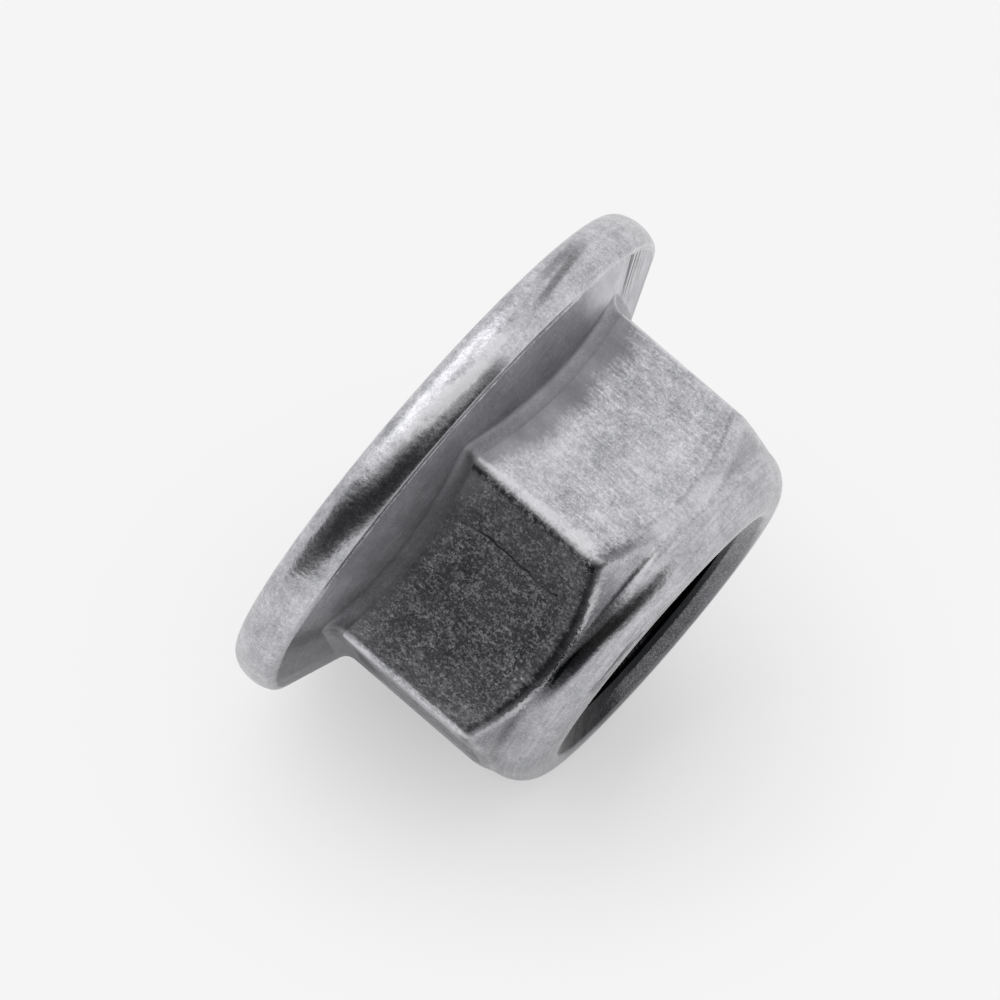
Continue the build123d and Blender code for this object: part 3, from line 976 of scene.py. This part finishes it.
grey, tree = new_material("grey_card")
glow = add_node(tree, "Emission", Color=linear("#898989"), Strength=1.0)
clear = add_node(tree, "BsdfTransparent")
bounces = add_node(tree, "LightPath").outputs["Ray Depth"]
second = add_node(tree, "Math", "GREATER_THAN", in0=bounces, in1=1.5)
mix = add_node(tree, "MixShader", in0=second, in1=clear, in2=glow)
add_node(tree, "OutputMaterial", Surface=mix)
stage_object("side_screen", card_mesh("side_screen", *GREY_CARD), grey, **REFLECTED_ONLY)
print("black and grey, linear:", round(linear("#454545")[0], 3), round(linear("#898989")[0], 3))

# %% [markdown]
# The table is a sheet of matt paper. Lit paper is never quite even, and more light to whiten it
# would also burn out the metal. So the paper is diffuse close to the nut, where it has to take
# the shadow, and turns with distance into an even pale glow. A reflection sees it mostly as lit
# paper. From behind it is clear, so it never stands between another view and the nut.

# %% Table paper
SHADOW_REACH = 15.3              # mm from the shadow's middle to where it has faded out
SHADOW_LEFT = 0.3                # mm that its middle lies to the left of the nut's
paper, tree = new_material("table_paper")
lit_paper = add_node(tree, "BsdfDiffuse", Color=linear("#f0f0f0"))
even_paper = add_node(tree, "Emission", Color=linear(PALE), Strength=1.0)
clear = add_node(tree, "BsdfTransparent")
shadow_middle = tuple((table_place - table_right * SHADOW_LEFT) * MM)
spot = add_node(tree, "TexCoord").outputs["Object"]
away = add_node(tree, "VectorMath", "DISTANCE", in0=spot, in1=shadow_middle)
lit_share = add_node(tree, "MapRange", Value=away.outputs["Value"], From_Min=0.0,
                     From_Max=SHADOW_REACH * MM, To_Min=0.7, To_Max=0.0)
glossy = add_node(tree, "LightPath").outputs["Is Glossy Ray"]
lit_share = add_node(tree, "Mix", {"data_type": "FLOAT"}, in0=glossy, in2=lit_share, in3=0.85)
front = add_node(tree, "MixShader", in0=lit_share, in1=even_paper, in2=lit_paper)
behind = add_node(tree, "NewGeometry").outputs["Backfacing"]
mix = add_node(tree, "MixShader", in0=behind, in1=front, in2=clear)
add_node(tree, "OutputMaterial", Surface=mix)
print("paper:", len(tree.nodes), "nodes")

# %% Table sheet
SHEET_HALF = 60.0
square = np.array([(-1, 1), (1, 1), (1, -1), (-1, -1)]) * SHEET_HALF
sheet = np.array(table_place) + square @ np.array([table_right, table_front])
sheet_mesh = bpy.data.meshes.new("table_sheet")
sheet_mesh.from_pydata((sheet * MM).tolist(), [], [(0, 1, 2, 3)])
stage_object("table_sheet", sheet_mesh, paper)
print("sheet across, mm:", 2 * SHEET_HALF)
print("sheet faces up:", sheet_mesh.polygons[0].normal.dot(table_normal) > 0.99)

# %% [markdown]
# Other views look at the nut standing upright, as the part is kept, and need a floor at its
# flange. It is paper again, drawn only behind the nut as this camera sees it and hidden from
# every ray but the camera's, so it takes a shadow in those views and adds no light to the metal.
# Its shape is cut in the material with soft edges, which a mesh's edge can't have.

# %% Where the floor shows
STRIP_HALF, STRIP_FADE = 8.4, 1.8        # mm: half width of the strip behind the nut, its edge
STRIP_START = 4.0                        # mm in which it comes in behind the axis
FLOOR_SEEN, FLOOR_GONE = 13.0, 24.0      # mm from the axis
floor_paper, tree = new_material("floor_paper")
spot = add_node(tree, "TexCoord").outputs["Object"]
away = add_node(tree, "VectorMath", "LENGTH", in0=spot).outputs["Value"]
backward = Vector((-to_camera.x, -to_camera.y, 0)).normalized()
sideways = (-backward.y, backward.x, 0)
beside = add_node(tree, "VectorMath", "DOT_PRODUCT", in0=spot, in1=sideways).outputs["Value"]
beside = add_node(tree, "Math", "ABSOLUTE", in0=beside)
beside = add_node(tree, "MapRange", SMOOTH, Value=beside,
                  From_Min=(STRIP_HALF + STRIP_FADE) * MM, From_Max=STRIP_HALF * MM)
beyond = add_node(tree, "VectorMath", "DOT_PRODUCT", in0=spot, in1=tuple(backward))
beyond = add_node(tree, "MapRange", SMOOTH, Value=beyond.outputs["Value"], From_Min=0.0,
                  From_Max=STRIP_START * MM)
near = add_node(tree, "MapRange", SMOOTH, Value=away, From_Min=FLOOR_GONE * MM,
                From_Max=FLOOR_SEEN * MM)
shown = add_node(tree, "Math", "MULTIPLY", in0=beside, in1=beyond)
shown = add_node(tree, "Math", "MULTIPLY", in0=shown, in1=near)
print("strip behind the nut, mm wide:", 2 * STRIP_HALF)

# %% Floor paper
FLOOR_RADIUS = 40.0
LIT_WITHIN, EVEN_BEYOND = 8.0, 20.0      # mm from the axis
lit_paper = add_node(tree, "BsdfDiffuse", Color=linear("#e7e7e7"))
even_paper = add_node(tree, "Emission", Color=linear(PALE), Strength=1.0)
clear = add_node(tree, "BsdfTransparent")
lit_share = add_node(tree, "MapRange", Value=away, From_Min=LIT_WITHIN * MM,
                     From_Max=EVEN_BEYOND * MM, To_Min=0.85, To_Max=0.0)
front = add_node(tree, "MixShader", in0=lit_share, in1=even_paper, in2=lit_paper)
mix = add_node(tree, "MixShader", in0=shown, in1=clear, in2=front)
add_node(tree, "OutputMaterial", Surface=mix)
rim_angle = np.radians(np.arange(0, 360, 5))
disc = np.stack([np.cos(rim_angle), np.sin(rim_angle), 0 * rim_angle], axis=-1) * FLOOR_RADIUS
floor_mesh = bpy.data.meshes.new("floor")
floor_mesh.from_pydata((disc * MM).tolist(), [], [tuple(range(len(disc)))])
stage_object("floor", floor_mesh, floor_paper, glossy=False, diffuse=False, shadow=False,
             transmission=False)
print("floor across, mm:", 2 * FLOOR_RADIUS)

# %% [markdown]
# One large soft box, up to the left and on the viewer's side of the nut, lights the flat that
# faces up and draws the soft shadow. Its size matters more than its power: a small lamp would
# give points of glare on the metal. The power is worked out from the brightness of the box's face
# and its area, so that the metal shows the box equally bright at any size.

# %% Key lamp
KEY_DISTANCE = 300.0
KEY_SIZE = (320.0, 155.0)            # mm
KEY_RADIANCE = 0.97
KEY_SWING = math.radians(-12)        # round the nut's axis, away from up and to the left
key_direction = Matrix.Rotation(KEY_SWING, 3, "Z") @ seen_as(-0.477, 0.648, 0.595)
key_length = seen_as(0.65, 0.76, 0)
key_data = bpy.data.lights.new("key", "AREA")
key_data.shape = "RECTANGLE"
key_data.size, key_data.size_y = KEY_SIZE[0] * MM, KEY_SIZE[1] * MM
key_data.energy = KEY_RADIANCE * math.pi * key_data.size * key_data.size_y
key = bpy.data.objects.new("key", key_data)
key_x = (key_length - key_direction * key_direction.dot(key_length)).normalized()
key_turn = Matrix((key_x, key_direction.cross(key_x), key_direction)).transposed()
key_place = Matrix.Translation((look_at + key_direction * KEY_DISTANCE) * MM)
key.matrix_world = key_place @ key_turn.to_4x4()
bpy.context.collection.objects.link(key)
print("key lamp, W:", round(key_data.energy, 4))
